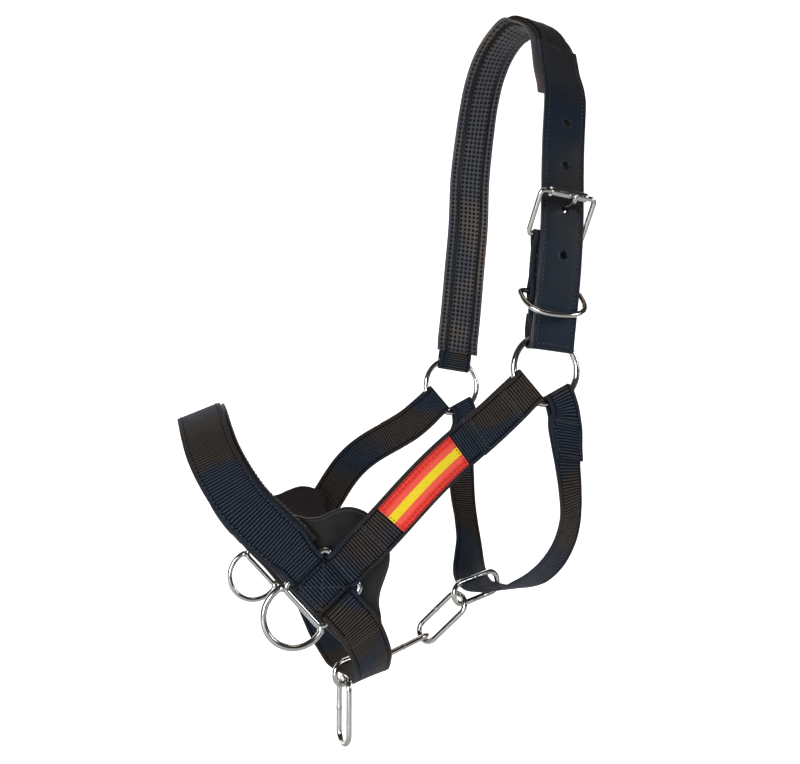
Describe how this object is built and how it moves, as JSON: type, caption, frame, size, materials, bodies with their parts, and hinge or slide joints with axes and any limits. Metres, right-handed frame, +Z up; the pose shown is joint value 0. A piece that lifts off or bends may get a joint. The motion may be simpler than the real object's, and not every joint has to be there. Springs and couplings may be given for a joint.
{
  "type": "headcollar",
  "caption": "Padded webbing and leather headcollar for a horse, with a tongue buckle, cheek rings, square halter rings and a short chain.",
  "frame": {"origin": "underside of the poll padding at its highest point, where the strap lies on the horse", "axes": "+Z up, -X towards the nose, -Y the near (left) side with the buckle, +Y the far side"},
  "size_m": [0.2543, 0.1973, 0.491],
  "materials": {
    "webbing": "ribbed nylon",
    "leather": "smooth, stitched edges",
    "lining": "soft, perforated",
    "pad_leather": "smooth",
    "pad_cloth": "matt",
    "ribbon": "woven stripes",
    "steel": "polished"
  },
  "bodies": {
    "straps": {"near_nose_square": "steel", "far_nose_square": "steel", "near_cheek_strap": "webbing", "far_cheek_strap": "webbing", "near_ribbon": "ribbon", "far_ribbon": "ribbon", "near_side_pad": "pad_leather", "far_side_pad": "pad_leather", "near_pad_lining": "pad_cloth", "far_pad_lining": "pad_cloth", "near_square_patch": "webbing", "far_square_patch": "webbing", "crown_webbing": "webbing", "crown_pad": "lining", "crown_overlay": "leather", "tip_strap": "leather", "buckle_billet": "webbing", "noseband_webbing": "webbing", "noseband_lining": "lining", "chin_strap": "webbing", "throat_strap": "webbing"},
    "near_ring": {"near_cheek_ring": "steel"},
    "far_ring": {"far_cheek_ring": "steel"},
    "buckle": {"buckle_frame": "steel"},
    "roller": {"buckle_roller": "steel"},
    "tongue": {"buckle_tongue": "steel"},
    "keeper": {"keeper_ring": "steel"},
    "link_a": {"chain_link_a": "steel"},
    "link_b": {"chain_link_b": "steel"},
    "link_c": {"chain_link_c": "steel"},
    "link_d": {"chain_link_d": "steel"},
    "link_e": {"chain_link_e": "steel"}
  },
  "joints": [
    {"name": "near_ring_turn", "type": "hinge", "parent": "straps", "child": "near_ring", "pos_m": [-0.0285, -0.0808, -0.25], "axis": [0, 1, 0], "continuous": true},
    {"name": "far_ring_turn", "type": "hinge", "parent": "straps", "child": "far_ring", "pos_m": [-0.0285, 0.0808, -0.25], "axis": [0, 1, 0], "continuous": true},
    {"name": "buckle_tilt", "type": "hinge", "parent": "straps", "child": "buckle", "pos_m": [-0.0229, -0.0835, -0.1705], "axis": [0.995, 0.0503, -0.0865], "range_deg": [-0.5, 1.5]},
    {"name": "roller_spin", "type": "hinge", "parent": "buckle", "child": "roller", "pos_m": [-0.0202, -0.097, -0.14727], "axis": [0.995, 0.0503, -0.0865], "continuous": true},
    {"name": "tongue_tilt", "type": "hinge", "parent": "buckle", "child": "tongue", "pos_m": [-0.0229, -0.0835, -0.1705], "axis": [0.995, 0.0503, -0.0865], "range_deg": [0, 1]},
    {"name": "keeper_swing", "type": "hinge", "parent": "straps", "child": "keeper", "pos_m": [-0.0262, -0.0819, -0.203], "axis": [1, 0, 0], "range_deg": [-40, 12]},
    {"name": "link_a_roll", "type": "hinge", "parent": "straps", "child": "link_a", "pos_m": [-0.1217, 0, -0.4365], "axis": [0.901, 0.4125, 0.134], "range_deg": [-2, 2]},
    {"name": "link_b_swing", "type": "hinge", "parent": "link_a", "child": "link_b", "pos_m": [-0.13305, -0.0048, -0.44537], "axis": [0.901, 0.4125, 0.134], "range_deg": [-12, 12]},
    {"name": "link_c_roll", "type": "hinge", "parent": "link_a", "child": "link_c", "pos_m": [-0.0908, 0.0117, -0.4292], "axis": [0.9364, 0.0918, 0.3387], "range_deg": [0, 2]},
    {"name": "link_d_roll", "type": "hinge", "parent": "link_c", "child": "link_d", "pos_m": [-0.064, 0.0052, -0.4097], "axis": [0.5841, -0.4136, 0.6984], "range_deg": [0, 2]},
    {"name": "link_e_roll", "type": "hinge", "parent": "straps", "child": "link_e", "pos_m": [-0.0398, 0.0042, -0.391], "axis": [0.9155, 0.3569, 0.1857], "range_deg": [0, 2]}
  ]
}
